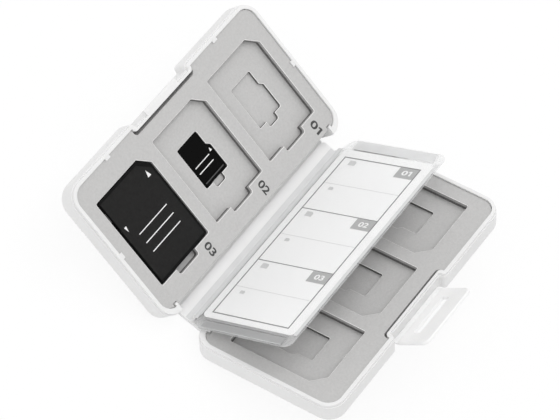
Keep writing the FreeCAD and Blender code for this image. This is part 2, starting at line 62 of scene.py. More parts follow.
# Sizes are in millimetres, as in the part's source, and become metres through MM
MM = 0.001

# Frames of the halves and of the sleeve at rest, from the joints that carry them
FOLD = math.radians(joints["base_fold"]["range_deg"][1])
BASE = Matrix.Translation(joints["base_fold"]["pos_m"]) @ Matrix.Rotation(FOLD, 4, "X")
LID = Matrix.Rotation(math.pi, 4, "Z") @ BASE
CARD_SLIDE = Vector(joints["index_card_slide"]["axis"])
SLEEVE_LEAN = math.atan2(CARD_SLIDE.z, CARD_SLIDE.y)
SLEEVE = Matrix.Translation(joints["sleeve_follow"]["pos_m"]) @ Matrix.Rotation(SLEEVE_LEAN, 4, "X")
QUARTER_TURN = math.pi / 2

# The closed latch tab stands square to the base, so its joint's lower limit gives its lean at rest
TAB_LEAN = FOLD + math.radians(90 + joints["latch_flip"]["range_deg"][0])

# Camera fitted to the photograph, with angles in degrees and clipping distances in metres
CAMERA_PLACE = (553.424, 52.376, 933.718)
CAMERA_AZIMUTH = 5.462
CAMERA_ELEVATION = 58.728
CAMERA_ROLL = 34.304
CAMERA_LENS = 228.041
SENSOR_WIDTH = 36.0
CLIP_NEAR, CLIP_FAR = 0.01, 20.0

# Floor, sky and lamps, in metres and watts
WHITE = (1.0, 1.0, 1.0, 1.0)
FLOOR_HALF, FLOOR_LEVEL = 3.0, -0.0002
FLOOR_TONE, FLOOR_ROUGHNESS, FLOOR_WHITE_SHARE = 0.94, 0.9, 0.88
SKY_STRENGTH = 0.78
LAMP_TARGET = (0, 0, 0.015)
LAMPS = {
    "key_lamp": {"direction": (-0.35, -0.05, 0.93), "distance": 0.7, "size": 0.5, "power": 1.1},
    "fill_lamp": {"direction": (0.4, -0.2, 0.9), "distance": 0.8, "size": 0.6, "power": 1.1},
}

# Patterns change a tone or a roughness over this part of their range
PATTERN_LOW, PATTERN_HIGH = 0.3, 0.7

# Greys lean a little to warm or, below zero, to cool
SHELL_WARMTH, FOAM_WARMTH, FILM_WARMTH, LABEL_WARMTH = 0.002, 0.008, -0.004, 0.02

# Joined corners and rounded edges, with angles in degrees
WELD = 0.001
FLAT_ANGLE, SHARP_ANGLE = 1.0, 35.0
SHELL_EDGE, CARD_EDGE, FOAM_EDGE = 0.18, 0.12, 0.15
MOULDED_SEGMENTS, FOAM_SEGMENTS = 2, 3
ROUND_PROFILE = 0.5

# Thickness of a layer of ink or melted film, from which print and trim are built
INK = 0.02

# Foam of each half: its frame and its first number, and the layers from the top down
POCKET_COUNT = 3
HALVES = {"base": (BASE, POCKET_COUNT + 1), "lid": (LID, 1)}
FOAM_LAYERS = ("sd_layer", "micro_layer", "backing")

# Pocket walls lie this far inside the foam's rim and its latch recess
RIM_REACH, RECESS_REACH = 4.0, 6.0

# The upward share of a face's normal tells the foam's walls, rounded edges and flat faces apart
WALL_LEAN = 0.3
ROUND_LEAN_LOW, ROUND_LEAN_HIGH = 0.2, 0.98

# Weight of the printed numbers and the flag of a one, in the font's own units
NUMBER_WEIGHT = 0.025
ONE_STEM = 0.148
FLAG_REACH, FLAG_DROP, FLAG_WEIGHT = 0.13, 0.1, 0.15

# Numbers printed on the foam, one beside each pocket
NUMBER_WIDTH, NUMBER_HEIGHT = 4.6, 2.7
NUMBER_FIRST_X, NUMBER_PITCH = -19.9, 28.8
NUMBER_Y = 5.6

# Print on the index card, with its length along the spine and LOW and HIGH up the sleeve
PRINT_HALF_LENGTH = 36.1
PRINT_LOW, PRINT_HIGH = 5.1, 34.8
FRAME_LINE, CELL_LINE, RULE_LINE = 0.42, 0.34, 0.16
TAG_LENGTH, TAG_LOW = 4.8, 27.3
TAG_NUMBER_WIDTH, TAG_NUMBER_HEIGHT = 3.6, 2.1
SIGN_FROM_LINE, SIGN_FROM_ROOT = 2.1, 4.3
LARGE_SIGN, SMALL_SIGN = (2.1, 2.7), (1.3, 1.8)
SIGN_CUT_SHARE = 0.3

# Melted edges of the sleeve: seam, edge and gap from the index card, the others from the film's own edges
SEAM_NEAR, SEAM_FAR = 1.2, 1.6
EDGE_NEAR, EDGE_FAR = 4.2, 4.55
CARD_GAP = 0.3
WELD_FROM_ROOT, WELD_FROM_LIP = 3.6, 3.1
FAR_MARGIN, LIP_MARGIN = 0.6, 0.1

# Flange of the sleeve on the spine's inner face, and cap on the rib with a gap for the crease
SPINE_TOP, RIB_TOP = 1.2, 3.9
RIB_HALF, CREASE_HALF = 0.45, 0.15
FLANGE_REACH = 2.1
RIB_INSET = 1.2

# Bending webs: their rows, and their reach from the joint's axis on either side
WEB_ROWS = 8
HINGE_REACH = 1.1
LATCH_REACH_BASE, LATCH_REACH_TAB = 1.4, 0.6
CREASE_REACH = 0.3

# Label of the card adapter, with the arrows and ruled lines on it
LABEL_THICK = 0.04
LABEL_MARGIN, LABEL_CUT = 1.0, 4.0
ARROW_FROM_RIGHT, ARROW_FROM_FRONT = 2.4, 3.2
ARROW_HALF, ARROW_LENGTH = 0.75, 2.2
LOCK_FROM_LEFT, LOCK_FROM_FRONT = 1.7, 12.2
LOCK_HALF, LOCK_LENGTH = 0.5, 1.9
RULE_COUNT, RULE_FIRST, RULE_PITCH = 3, 9.0, 3.4
RULE_MARGIN = 4.0
MARK_LINE = 0.3

# Marks on the small card: the level of its face, and ruled lines, arrow and the painted highlight line on
# its ridge from its edges
CARD_FACE = 0.7
CARD_RULE_LEFT, CARD_RULE_RIGHT = 1.4, 2.4
CARD_RULE_COUNT, CARD_RULE_FIRST, CARD_RULE_PITCH = 2, 4.6, 2.2
CARD_ARROW_FROM_RIGHT, CARD_ARROW_FROM_REAR = 1.05, 8.3
CARD_ARROW_HALF, CARD_ARROW_LENGTH = 0.5, 1.2
RIDGE_MARGIN, RIDGE_LOW, RIDGE_HIGH = 0.9, 1.0, 1.38


def local_box(node, place):
    """Lowest and highest corner of a CAD node in the given frame, in millimetres."""
    back = place.inverted()
    points = [back @ v.co / MM for v in nodes[node].data.vertices]
    low = Vector([min(p[i] for p in points) for i in range(3)])
    high = Vector([max(p[i] for p in points) for i in range(3)])
    return low, high


def in_metres(place):
    """The given frame, for points in millimetres."""
    return place @ Matrix.Scale(MM, 4)


def at(place, x, y, z, turn):
    """Frame at a point of another frame, in millimetres, turned about its upright axis."""
    return place @ Matrix.Translation(Vector((x, y, z)) * MM) @ Matrix.Rotation(turn, 4, "Z")


def new_piece(name, mesh, *materials):
    """Scene object with its materials."""
    piece = bpy.data.objects.new(name, mesh)
    bpy.context.scene.collection.objects.link(piece)
    for material in materials:
        mesh.materials.append(material)
    return piece


def finish_piece(piece, body):
    """The piece rides on a body."""
    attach(piece, body)


# Materials


def shader_of(material):
    """The material's Principled shader."""
    return material.node_tree.nodes["Principled BSDF"]


def set_shader(material, values):
    """Shader values that are the same all over the surface."""
    for socket, value in values.items():
        shader_of(material).inputs[socket].default_value = value


def new_material(name, color, roughness, metallic=0.0):
    """Material with a plain Principled shader, ready for its patterns."""
    material = bpy.data.materials.new(name)
    material.use_nodes = True
    set_shader(material, {"Base Color": (*color, 1.0), "Roughness": roughness, "Metallic": metallic})
    return material


def placed_texture(material, kind, size, stretch):
    """Texture node in the piece's own coordinates, with features of about the given size."""
    tree = material.node_tree
    coordinates = tree.nodes.new("ShaderNodeTexCoord")
    mapping = tree.nodes.new("ShaderNodeMapping")
    mapping.inputs["Scale"].default_value = [share / (size * MM) for share in stretch]
    texture = tree.nodes.new(kind)
    texture.inputs["Scale"].default_value = 1.0
    tree.links.new(coordinates.outputs["Object"], mapping.inputs["Vector"])
    tree.links.new(mapping.outputs["Vector"], texture.inputs["Vector"])
    return texture


def grain(material, size, detail=3.0, stretch=(1.0, 1.0, 1.0)):
    """Soft noise of about the given feature size."""
    texture = placed_texture(material, "ShaderNodeTexNoise", size, stretch)
    texture.inputs["Detail"].default_value = detail
    return texture.outputs["Fac"]


def cells(material, size):
    """Rounded cells of about the given size, as in closed-cell foam."""
    texture = placed_texture(material, "ShaderNodeTexVoronoi", size, (1.0, 1.0, 1.0))
    texture.feature = "SMOOTH_F1"
    return texture.outputs["Distance"]


def tint(material, pattern, dark, light):
    """Colour between two tones, by a pattern."""
    tree = material.node_tree
    ramp = tree.nodes.new("ShaderNodeValToRGB")
    ramp.color_ramp.elements[0].position = PATTERN_LOW
    ramp.color_ramp.elements[1].position = PATTERN_HIGH
    ramp.color_ramp.elements[0].color = (*dark, 1.0)
    ramp.color_ramp.elements[1].color = (*light, 1.0)
    tree.links.new(pattern, ramp.inputs["Fac"])
    tree.links.new(ramp.outputs["Color"], shader_of(material).inputs["Base Color"])


def roughen(material, pattern, low, high):
    """Roughness between two levels, by a pattern."""
    tree = material.node_tree
    spread = tree.nodes.new("ShaderNodeMapRange")
    spread.inputs["From Min"].default_value = PATTERN_LOW
    spread.inputs["From Max"].default_value = PATTERN_HIGH
    spread.inputs["To Min"].default_value = low
    spread.inputs["To Max"].default_value = high
    tree.links.new(pattern, spread.inputs["Value"])
    tree.links.new(spread.outputs["Result"], shader_of(material).inputs["Roughness"])


def relief(material, pattern, depth):
    """Bump of the given depth, on top of any bump that is already there."""
    tree = material.node_tree
    bump = tree.nodes.new("ShaderNodeBump")
    bump.inputs["Strength"].default_value = 1.0
    bump.inputs["Distance"].default_value = depth * MM
    tree.links.new(pattern, bump.inputs["Height"])
    normal = shader_of(material).inputs["Normal"]
    if normal.is_linked:
        tree.links.new(normal.links[0].from_socket, bump.inputs["Normal"])
    tree.links.new(bump.outputs["Normal"], normal)


def grey(level, warmth=0.0):
    """Neutral tone, a little warmer or cooler."""
    return level * (1 + warmth), level, level * (1 - warmth)


def shell_material(name, level):
    """White moulded plastic with a fine satin grain and faint flow marks."""
    material = new_material(name, grey(level), roughness=0.42)
    set_shader(material, {"Subsurface Weight": 0.25, "Subsurface Radius": (1.0, 1.0, 0.95),
                          "Subsurface Scale": 1.2 * MM, "Specular IOR Level": 0.3})
    clouds = grain(material, size=14.0, detail=4.0)
    tint(material, clouds, grey(level - 0.015, SHELL_WARMTH), grey(level + 0.015, SHELL_WARMTH))
    roughen(material, grain(material, size=3.0), low=0.36, high=0.5)
    relief(material, grain(material, size=0.22, detail=2.0), depth=0.006)
    relief(material, grain(material, size=5.0, detail=2.0, stretch=(0.3, 1.0, 1.0)), depth=0.02)
    return material


def web_material():
    """The same plastic pressed thin and glossy where it bends."""
    material = new_material("web_plastic_white", grey(0.88), roughness=0.28)
    streaks = grain(material, size=4.0, stretch=(0.2, 1.0, 1.0))
    tint(material, streaks, grey(0.86), grey(0.9))
    roughen(material, grain(material, size=1.2), low=0.24, high=0.38)
    relief(material, grain(material, size=0.5, detail=2.0, stretch=(0.05, 1.0, 1.0)), depth=0.012)
    return material


def foam_material(name, level):
    """Face of the closed-cell foam, pale grey; at a high level it is the painted highlight on the pockets'
    rounded top edges.
    """
    material = new_material(name, grey(level, FOAM_WARMTH), roughness=0.9)
    set_shader(material, {"Specular IOR Level": 0.25})
    speckle = grain(material, size=0.7, detail=6.0)
    tint(material, speckle, grey(level - 0.025, FOAM_WARMTH), grey(level + 0.025, FOAM_WARMTH))
    roughen(material, grain(material, size=0.5), low=0.82, high=0.98)
    relief(material, cells(material, size=0.3), depth=0.03)
    relief(material, grain(material, size=0.12), depth=0.012)
    return material


def foam_cut_material(name, level):
    """Die-cut wall of the foam with its cells open, at the given level; at a very low level it is painted
    shade.
    """
    material = new_material(name, grey(level, FOAM_WARMTH), roughness=0.95)
    set_shader(material, {"Specular IOR Level": 0.15})
    speckle = grain(material, size=0.35, detail=5.0)
    tint(material, speckle, grey(0.82 * level, FOAM_WARMTH), grey(1.18 * level, FOAM_WARMTH))
    roughen(material, grain(material, size=0.4), low=0.9, high=1.0)
    relief(material, cells(material, size=0.22), depth=0.08)
    return material


def film_material(name, alpha):
    """Frosted film of the sleeve, clear or milky."""
    material = new_material(name, grey(0.87, FILM_WARMTH), roughness=0.35)
    set_shader(material, {"Specular IOR Level": 0.5, "Alpha": alpha})
    tint(material, grain(material, size=8.0), grey(0.85, FILM_WARMTH), grey(0.89, FILM_WARMTH))
    roughen(material, grain(material, size=2.0), low=0.3, high=0.42)
    relief(material, grain(material, size=16.0, detail=1.0), depth=0.03)
    return material


def weld_material(name, level, alpha):
    """Pressed film at the sleeve's edges and root, where the two films are melted together."""
    material = new_material(name, grey(level, FILM_WARMTH), roughness=0.45)
    set_shader(material, {"Alpha": alpha})
    clouds = grain(material, size=6.0, detail=2.0)
    tint(material, clouds, grey(0.97 * level, FILM_WARMTH), grey(1.03 * level, FILM_WARMTH))
    relief(material, grain(material, size=0.4, detail=2.0), depth=0.01)
    return material


def paper_material():
    """White card with a faint fibre."""
    material = new_material("index_paper_white", grey(0.94), roughness=0.75)
    set_shader(material, {"Subsurface Weight": 0.5, "Subsurface Radius": (1.0, 1.0, 1.0),
                          "Subsurface Scale": 0.4 * MM})
    fibre = grain(material, size=0.8, detail=5.0, stretch=(1.0, 0.35, 1.0))
    tint(material, fibre, grey(0.925), grey(0.955))
    roughen(material, grain(material, size=1.5), low=0.68, high=0.82)
    relief(material, grain(material, size=0.18, detail=4.0, stretch=(1.0, 0.3, 1.0)), depth=0.006)
    return material


def ink_material(name, level, spread):
    """Printing ink that takes a little of the surface under it."""
    material = new_material(name, grey(level), roughness=0.6)
    speckle = grain(material, size=0.25, detail=4.0)
    tint(material, speckle, grey(level * (1 - spread)), grey(level * (1 + spread)))
    roughen(material, grain(material, size=0.4), low=0.5, high=0.7)
    return material


def adapter_material():
    """Black spark-textured plastic."""
    material = new_material("adapter_plastic_black", grey(0.003), roughness=0.55)
    set_shader(material, {"Specular IOR Level": 0.1})
    tint(material, grain(material, size=0.5, detail=5.0), grey(0.002), grey(0.004))
    roughen(material, grain(material, size=0.8), low=0.45, high=0.65)
    relief(material, grain(material, size=0.12), depth=0.012)
    return material


def label_material():
    """Charcoal label, flatter and lighter than the plastic round it."""
    material = new_material("card_label_charcoal", grey(0.01), roughness=0.6)
    set_shader(material, {"Specular IOR Level": 0.16})
    speckle = grain(material, size=0.6, detail=5.0)
    tint(material, speckle, grey(0.008, LABEL_WARMTH), grey(0.012, LABEL_WARMTH))
    roughen(material, grain(material, size=1.5), low=0.52, high=0.68)
    relief(material, grain(material, size=0.15), depth=0.004)
    return material


def lock_material():
    """Dark grey plastic of the lock slider."""
    material = new_material("lock_plastic_grey", grey(0.1), roughness=0.5)
    tint(material, grain(material, size=0.4, detail=4.0), grey(0.085), grey(0.115))
    roughen(material, grain(material, size=0.6), low=0.42, high=0.58)
    relief(material, grain(material, size=0.15, detail=2.0), depth=0.008)
    return material


def card_material():
    """Black satin moulding of the small card."""
    material = new_material("card_plastic_black", grey(0.002), roughness=0.32)
    set_shader(material, {"Specular IOR Level": 0.05})
    tint(material, grain(material, size=0.4, detail=4.0), grey(0.0015), grey(0.0025))
    roughen(material, grain(material, size=0.7), low=0.26, high=0.4)
    relief(material, grain(material, size=0.1, detail=2.0), depth=0.004)
    return material


def ridge_glint_material():
    """Painted highlight on the front edge of the small card's grip ridge, lighter and glossier than the
    rest.
    """
    material = new_material("card_ridge_painted_glint", grey(0.05), roughness=0.3)
    tint(material, grain(material, size=0.5, detail=4.0), grey(0.04), grey(0.06))
    roughen(material, grain(material, size=0.4), low=0.24, high=0.4)
    return material


def contact_material():
    """Gold contact pads with a fine wiping grain."""
    material = new_material("contact_gold", (0.83, 0.6, 0.24), roughness=0.25, metallic=1.0)
    tint(material, grain(material, size=0.6, detail=4.0), (0.78, 0.55, 0.2), (0.87, 0.65, 0.29))
    wiped = grain(material, size=0.5, detail=2.0, stretch=(1.0, 0.1, 1.0))
    roughen(material, wiped, low=0.18, high=0.34)
    relief(material, grain(material, size=0.06, detail=2.0, stretch=(1.0, 0.06, 1.0)), depth=0.003)
    return material


SHELL = shell_material("shell_plastic_white", level=0.81)
# Spine and latch tab in the same white plastic painted lighter than the halves; on the spine this is painted
# light against the shade between the halves
LIGHTENED_SHELL = shell_material("shell_plastic_white_painted_light", level=0.9)
WEB = web_material()
FOAM = foam_material("foam_grey", level=0.53)
# Painted highlight: the pockets' rounded top edges, much paler than the foam
FOAM_HIGHLIGHT = foam_material("foam_grey_painted_highlight", level=0.88)
FOAM_CUT = foam_cut_material("foam_grey_cut", level=0.44)
# Painted shade: pocket walls, very dark, on their lower half in the top layer and all the way up in the
# layers below
FOAM_SHADE = foam_cut_material("foam_grey_painted_shade", level=0.15)
FOAM_LOOKS = (FOAM, FOAM_CUT, FOAM_SHADE, FOAM_HIGHLIGHT)
FRONT_FILM = film_material("sleeve_film_clear", alpha=0.05)
BACK_FILM = film_material("sleeve_film_milky", alpha=0.27)
WELD_SEAM = weld_material("sleeve_weld_seam", level=0.4, alpha=0.32)
WELD_EDGE = weld_material("sleeve_weld_edge", level=0.9, alpha=0.32)
WELD_BAND = weld_material("sleeve_weld_band", level=0.84, alpha=0.7)
# Painted shade: the near end's film, darker than the same film at the far end
WELD_SHADE_HAZE = weld_material("sleeve_weld_shade_haze", level=0.53, alpha=0.5)
# Partly painted shade: the sleeve's root film, opaque and greyer than the film, for the shade of the sleeve
# and rib on it
WELD_FLANGE_SHADE = weld_material("sleeve_weld_flange_painted_shade", level=0.73, alpha=1.0)
PAPER = paper_material()
NUMBER_INK = ink_material("number_ink_grey", level=0.045, spread=0.25)
FRAME_INK = ink_material("index_ink_dark", level=0.2, spread=0.12)
RULE_INK = ink_material("index_ink_pale", level=0.62, spread=0.05)
TAG_INK = ink_material("index_ink_tag", level=0.42, spread=0.05)
WHITE_INK = ink_material("mark_ink_white", level=0.85, spread=0.04)
ADAPTER = adapter_material()
LABEL = label_material()
LOCK = lock_material()
CARD = card_material()
# Painted highlight along the small card's ridge
RIDGE_GLINT = ridge_glint_material()
CONTACT = contact_material()

NODE_MATERIALS = {
    # The spine's lighter white is painted light
    "spine": LIGHTENED_SHELL,
    "base_shell": SHELL,
    "lid_shell": SHELL,
    "latch_tab": LIGHTENED_SHELL,
    # The sleeve strip's grey is partly painted shade
    "sleeve_strip": WELD_FLANGE_SHADE,
    "sleeve_back_sheet": BACK_FILM,
    "sleeve_front_film": FRONT_FILM,
    "index_card": PAPER,
    "adapter_bottom_shell": ADAPTER,
    "adapter_top_shell": ADAPTER,
    "adapter_lock_slider": LOCK,
    "adapter_contacts": CONTACT,
    "micro_card_body": CARD,
    "micro_card_contacts": CONTACT,
}
NODE_EDGES = {
    "spine": SHELL_EDGE,
    "base_shell": SHELL_EDGE,
    "lid_shell": SHELL_EDGE,
    "latch_tab": SHELL_EDGE,
    "adapter_bottom_shell": CARD_EDGE,
    "adapter_top_shell": CARD_EDGE,
    "micro_card_body": CARD_EDGE,
}


def dress_nodes():
    """Materials for the CAD nodes that stay, and small rounded edges on the moulded ones."""
    for name, material in NODE_MATERIALS.items():
        mesh = nodes[name].data
        mesh.materials.clear()
        mesh.materials.append(material)
    for name, width in NODE_EDGES.items():
        weld = nodes[name].modifiers.new("joined_corners", "WELD")
        weld.merge_threshold = WELD * MM
        bevel = nodes[name].modifiers.new("rounded_edges", "BEVEL")
        bevel.width = width * MM
        bevel.segments = MOULDED_SEGMENTS
        bevel.limit_method = "ANGLE"
        bevel.angle_limit = math.radians(SHARP_ANGLE)
        normals = nodes[name].modifiers.new("even_shading", "WEIGHTED_NORMAL")
        normals.keep_sharp = False


# Foam and bending webs, each in the space of its CAD solid


def joined_copy(node):
    """Editable copy of a CAD node's mesh, its corners joined and its flat faces whole."""
    work = bmesh.new()
    work.from_mesh(nodes[node].data)
    bmesh.ops.remove_doubles(work, verts=work.verts[:], dist=WELD * MM)
    flat = math.radians(FLAT_ANGLE)
    bmesh.ops.dissolve_limit(work, angle_limit=flat, verts=work.verts[:], edges=work.edges[:])
    return work


def cut_along(work, point, normal):
    """New edges where a plane meets the mesh, which keeps its shape."""
    geometry = work.verts[:] + work.edges[:] + work.faces[:]
    bmesh.ops.bisect_plane(work, geom=geometry, plane_co=point, plane_no=normal)


def finished_mesh(name, work):
    """Mesh of an editable copy, which is let go."""
    mesh = bpy.data.meshes.new(name)
    work.to_mesh(mesh)
    work.free()
    return mesh


def foam_look(lean, in_pocket, rounded, shaded_wall):
    """Material of one foam face: a pocket's rounded edge in a painted highlight, a flat face, a pocket wall
    in painted shade, or a plain wall.
    """
    # Painted highlight on a pocket's rounded top edge
    if in_pocket and rounded and ROUND_LEAN_LOW < lean < ROUND_LEAN_HIGH:
        return FOAM_HIGHLIGHT
    if abs(lean) > WALL_LEAN:
        return FOAM
    # Painted shade on a pocket wall
    if in_pocket and shaded_wall:
        return FOAM_SHADE
    return FOAM_CUT


def foam_sheet(node, body, place, shade_below_only):
    """Foam sheet with soft die-cut edges, its pocket walls in painted shade, or in painted shade only below
    their middle if the walls are split there.
    """
    work = joined_copy(node)
    low, high = local_box(node, place)
    middle = (low.z + high.z) / 2
    up = place.to_3x3() @ Vector((0, 0, 1))
    if shade_below_only:
        cut_along(work, place @ Vector((0, 0, middle * MM)), up)
    sharp = [edge for edge in work.edges if edge.calc_face_angle(0.0) > math.radians(SHARP_ANGLE)]
    bevel = bmesh.ops.bevel(work, geom=sharp, offset=FOAM_EDGE * MM, segments=FOAM_SEGMENTS,
                            profile=ROUND_PROFILE, affect="EDGES")
    rounded = set(bevel["faces"])
    back = place.inverted()
    for face in work.faces:
        face.smooth = True
        spot = back @ face.calc_center_median() / MM
        along = low.x + RIM_REACH < spot.x < high.x - RIM_REACH
        across = low.y + RIM_REACH < spot.y < high.y - RECESS_REACH
        # Painted shade on pocket walls below the middle, or all the way up on the layers below the top one
        shaded_wall = spot.z < middle or not shade_below_only
        look = foam_look(face.normal @ up, along and across, face in rounded, shaded_wall)
        face.material_index = FOAM_LOOKS.index(look)
    for edge in work.edges:
        edge.smooth = len({face in rounded for face in edge.link_faces}) == 1
    piece = new_piece(node + "_soft", finished_mesh(node + "_soft", work), *FOAM_LOOKS)
    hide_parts(node)
    finish_piece(piece, body)


def web(node, start, end, material=WEB):
    """Web between two bodies, cut into rows between two points."""
    work = joined_copy(node)
    for i in range(1, WEB_ROWS):
        cut_along(work, start.lerp(end, i / WEB_ROWS), end - start)
    piece = new_piece(node + "_web", finished_mesh(node + "_web", work), material)
    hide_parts(node)
    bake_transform(piece)


def hinge_webs():
    """The living hinges and the sleeve's crease, each a web cut into rows."""
    reach = HINGE_REACH * MM
    for body, place in (("base", BASE), ("lid", LID)):
        axis = Vector(joints[body + "_fold"]["pos_m"])
        outward = 1.0 if axis.y > 0 else -1.0
        start = axis - Vector((0, outward * reach, 0))
        end = place @ Vector((0, reach, 0))
        web(body + "_hinge_film", start, end)
    axis = Vector(joints["latch_flip"]["pos_m"])
    along = BASE.to_3x3() @ Vector((0, 1, 0))
    outward = Vector((0, math.cos(TAB_LEAN), math.sin(TAB_LEAN)))
    start, end = axis - along * LATCH_REACH_BASE * MM, axis + outward * LATCH_REACH_TAB * MM
    web("latch_hinge_film", start, end)
    crease = Vector(joints["sleeve_follow"]["pos_m"])
    reach = CREASE_REACH * MM
    start, end = crease - Vector((0, 0, reach)), crease + CARD_SLIDE * reach
    # The crease's film takes the same grey, partly painted shade
    web("sleeve_root_film", start, end, WELD_FLANGE_SHADE)


# Print, marks and thin film


def add_plate(work, outline, low, high):
    """Thin closed plate between two levels, with an outline of (x, y) points."""
    bottom = [work.verts.new((x, y, low)) for x, y in outline]
    top = [work.verts.new((x, y, high)) for x, y in outline]
    work.faces.new(bottom[::-1])
    work.faces.new(top)
    count = len(outline)
    for i in range(count):
        j = (i + 1) % count
        work.faces.new((bottom[i], bottom[j], top[j], top[i]))


def prisms(name, outlines, low, high, place, material):
    """Piece of thin plates between two levels, one for each outline."""
    work = bmesh.new()
    for outline in outlines:
        add_plate(work, outline, low, high)
    mesh = finished_mesh(name, work)
    mesh.transform(in_metres(place))
    return new_piece(name, mesh, material)


def printed(name, outlines, level, place, ink):
    """Piece of printed outlines on a face at the given level."""
    return prisms(name, outlines, level - INK / 2, level + INK / 2, place, ink)


def rectangle(x_low, x_high, y_low, y_high):
    """Outline of a rectangle."""
    return [(x_low, y_low), (x_high, y_low), (x_high, y_high), (x_low, y_high)]


def arrow(x, y, half, length):
    """Outline of a triangle with its tip at a point; sizes below zero turn it round."""
    return [(x - half, y - length), (x + half, y - length), (x, y)]


def ruled_lines(left, right, first, pitch, count):
    """Outlines of plain ruled lines across a card."""
    rules = []
    for i in range(count):
        y = first + pitch * i
        rules.append(rectangle(left, right, y - MARK_LINE / 2, y + MARK_LINE / 2))
    return rules


def card_sign(x, y, width, height):
    """Outline of a plain card sign with a cut corner, centred on a point."""
    cut = SIGN_CUT_SHARE * width
    left, right, low, high = x - width / 2, x + width / 2, y - height / 2, y + height / 2
    return [(left, low), (right, low), (right, high), (left + cut, high), (left, high - cut)]


def add_flag(mesh):
    """Flag at the top of a number's last digit, a one, which the font draws as a plain bar."""
    right = max(v.co.x for v in mesh.vertices)
    top = max(v.co.y for v in mesh.vertices if v.co.x > right - ONE_STEM / 2)
    left = right - ONE_STEM
    tip, drop = left - FLAG_REACH, top - FLAG_DROP
    work = bmesh.new()
    work.from_mesh(mesh)
    flag = [(tip, drop - FLAG_WEIGHT), (left, top - FLAG_WEIGHT), (left, top), (tip, drop)]
    add_plate(work, flag, -INK, INK)
    work.to_mesh(mesh)
    work.free()


def number(name, text, width, height, place, material):
    """Printed number of the given size, centred on its frame."""
    curve = bpy.data.curves.new(name, "FONT")
    curve.body = text
    curve.extrude = INK
    curve.offset = NUMBER_WEIGHT
    source = bpy.data.objects.new(name, curve)
    bpy.context.scene.collection.objects.link(source)
    found = source.evaluated_get(bpy.context.evaluated_depsgraph_get())
    mesh = bpy.data.meshes.new_from_object(found)
    bpy.data.objects.remove(source)
    if text.endswith("1"):
        add_flag(mesh)
    xs = [v.co.x for v in mesh.vertices]
    ys = [v.co.y for v in mesh.vertices]
    middle = Matrix.Translation((-(min(xs) + max(xs)) / 2, -(min(ys) + max(ys)) / 2, 0))
    stretch = Matrix.Diagonal((width / (max(xs) - min(xs)), height / (max(ys) - min(ys)), 1.0, 1.0))
    mesh.transform(in_metres(place) @ stretch @ middle)
    mesh.materials.clear()
    return new_piece(name, mesh, material)


def foam_numbers(body, place, first, level):
    """Number beside each pocket of one half, read from the side."""
    for i in range(POCKET_COUNT):
        text = f"{first + POCKET_COUNT - 1 - i:02d}"
        spot = at(place, NUMBER_FIRST_X + i * NUMBER_PITCH, NUMBER_Y, level, -QUARTER_TURN)
        piece = number("foam_number_" + text, text, NUMBER_WIDTH, NUMBER_HEIGHT, spot, NUMBER_INK)
        finish_piece(piece, body)


def index_print():
    """Ruled frame on the front of the index card, with a numbered tag and two card signs in each cell."""
    level = local_box("index_card", SLEEVE)[1].z
    low, high = -PRINT_HALF_LENGTH, PRINT_HALF_LENGTH
    cell = (high - low) / POCKET_COUNT
    line = FRAME_LINE / 2
    bottom, top = PRINT_LOW + line, PRINT_HIGH - line
    lines = [rectangle(low - line, high + line, PRINT_LOW - line, bottom),
             rectangle(low - line, high + line, top, PRINT_HIGH + line),
             rectangle(low - line, low + line, bottom, top),
             rectangle(high - line, high + line, bottom, top)]
    rules, tags, signs = [], [], []
    for i in range(POCKET_COUNT):
        start = low + i * cell
        if i > 0:
            lines.append(rectangle(start - CELL_LINE / 2, start + CELL_LINE / 2, bottom, top))
        half = start + cell / 2
        rules.append(rectangle(half - RULE_LINE / 2, half + RULE_LINE / 2, bottom, top))
        tags.append(rectangle(start + line, start + TAG_LENGTH, TAG_LOW, top))
        for row, size in ((start, LARGE_SIGN), (half, SMALL_SIGN)):
            signs.append(card_sign(row + SIGN_FROM_LINE, PRINT_LOW + SIGN_FROM_ROOT, *size))
        text = f"{i + 1:02d}"
        spot = at(SLEEVE, start + TAG_LENGTH / 2, (TAG_LOW + PRINT_HIGH) / 2, level + INK / 2, QUARTER_TURN)
        name = "index_front_number_" + text
        piece = number(name, text, TAG_NUMBER_WIDTH, TAG_NUMBER_HEIGHT, spot, WHITE_INK)
        finish_piece(piece, "index_card")
    groups = {"lines": (lines, FRAME_INK), "rules": (rules + signs, RULE_INK), "tags": (tags, TAG_INK)}
    for group, (outlines, ink) in groups.items():
        piece = printed("index_front_" + group, outlines, level, SLEEVE, ink)
        finish_piece(piece, "index_card")


def sleeve_welds():
    """Seam, melted edge and a grey veil of painted shade at the near end of the sleeve, and milky bands
    along its other sides.
    """
    low, high = local_box("sleeve_front_film", SLEEVE)
    card_low, card_high = local_box("index_card", SLEEVE)
    start, end = low.y + WELD_FROM_ROOT, high.y - WELD_FROM_LIP
    seam = rectangle(card_high.x + SEAM_NEAR, card_high.x + SEAM_FAR, start, end)
    edge = rectangle(card_high.x + EDGE_NEAR, card_high.x + EDGE_FAR, start, end)
    far = rectangle(low.x + FAR_MARGIN, card_low.x - CARD_GAP, start, end)
    root = rectangle(card_low.x, card_high.x, low.y, card_low.y)
    lip = rectangle(card_low.x, card_high.x, card_high.y + CARD_GAP, high.y - LIP_MARGIN)
    # Grey veil of painted shade between the seam, the edge and the card
    shade_haze = [rectangle(card_high.x + CARD_GAP, card_high.x + SEAM_NEAR, start, end),
            rectangle(card_high.x + SEAM_FAR, card_high.x + EDGE_NEAR, start, end)]
    welds = {"seam": ([seam], WELD_SEAM), "edge": ([edge], WELD_EDGE), "shade_haze": (shade_haze, WELD_SHADE_HAZE),
             "band": ([far, root, lip], WELD_BAND)}
    for name, (outlines, material) in welds.items():
        piece = prisms("sleeve_" + name, outlines, high.z - INK, high.z + INK, SLEEVE, material)
        finish_piece(piece, "sleeve")


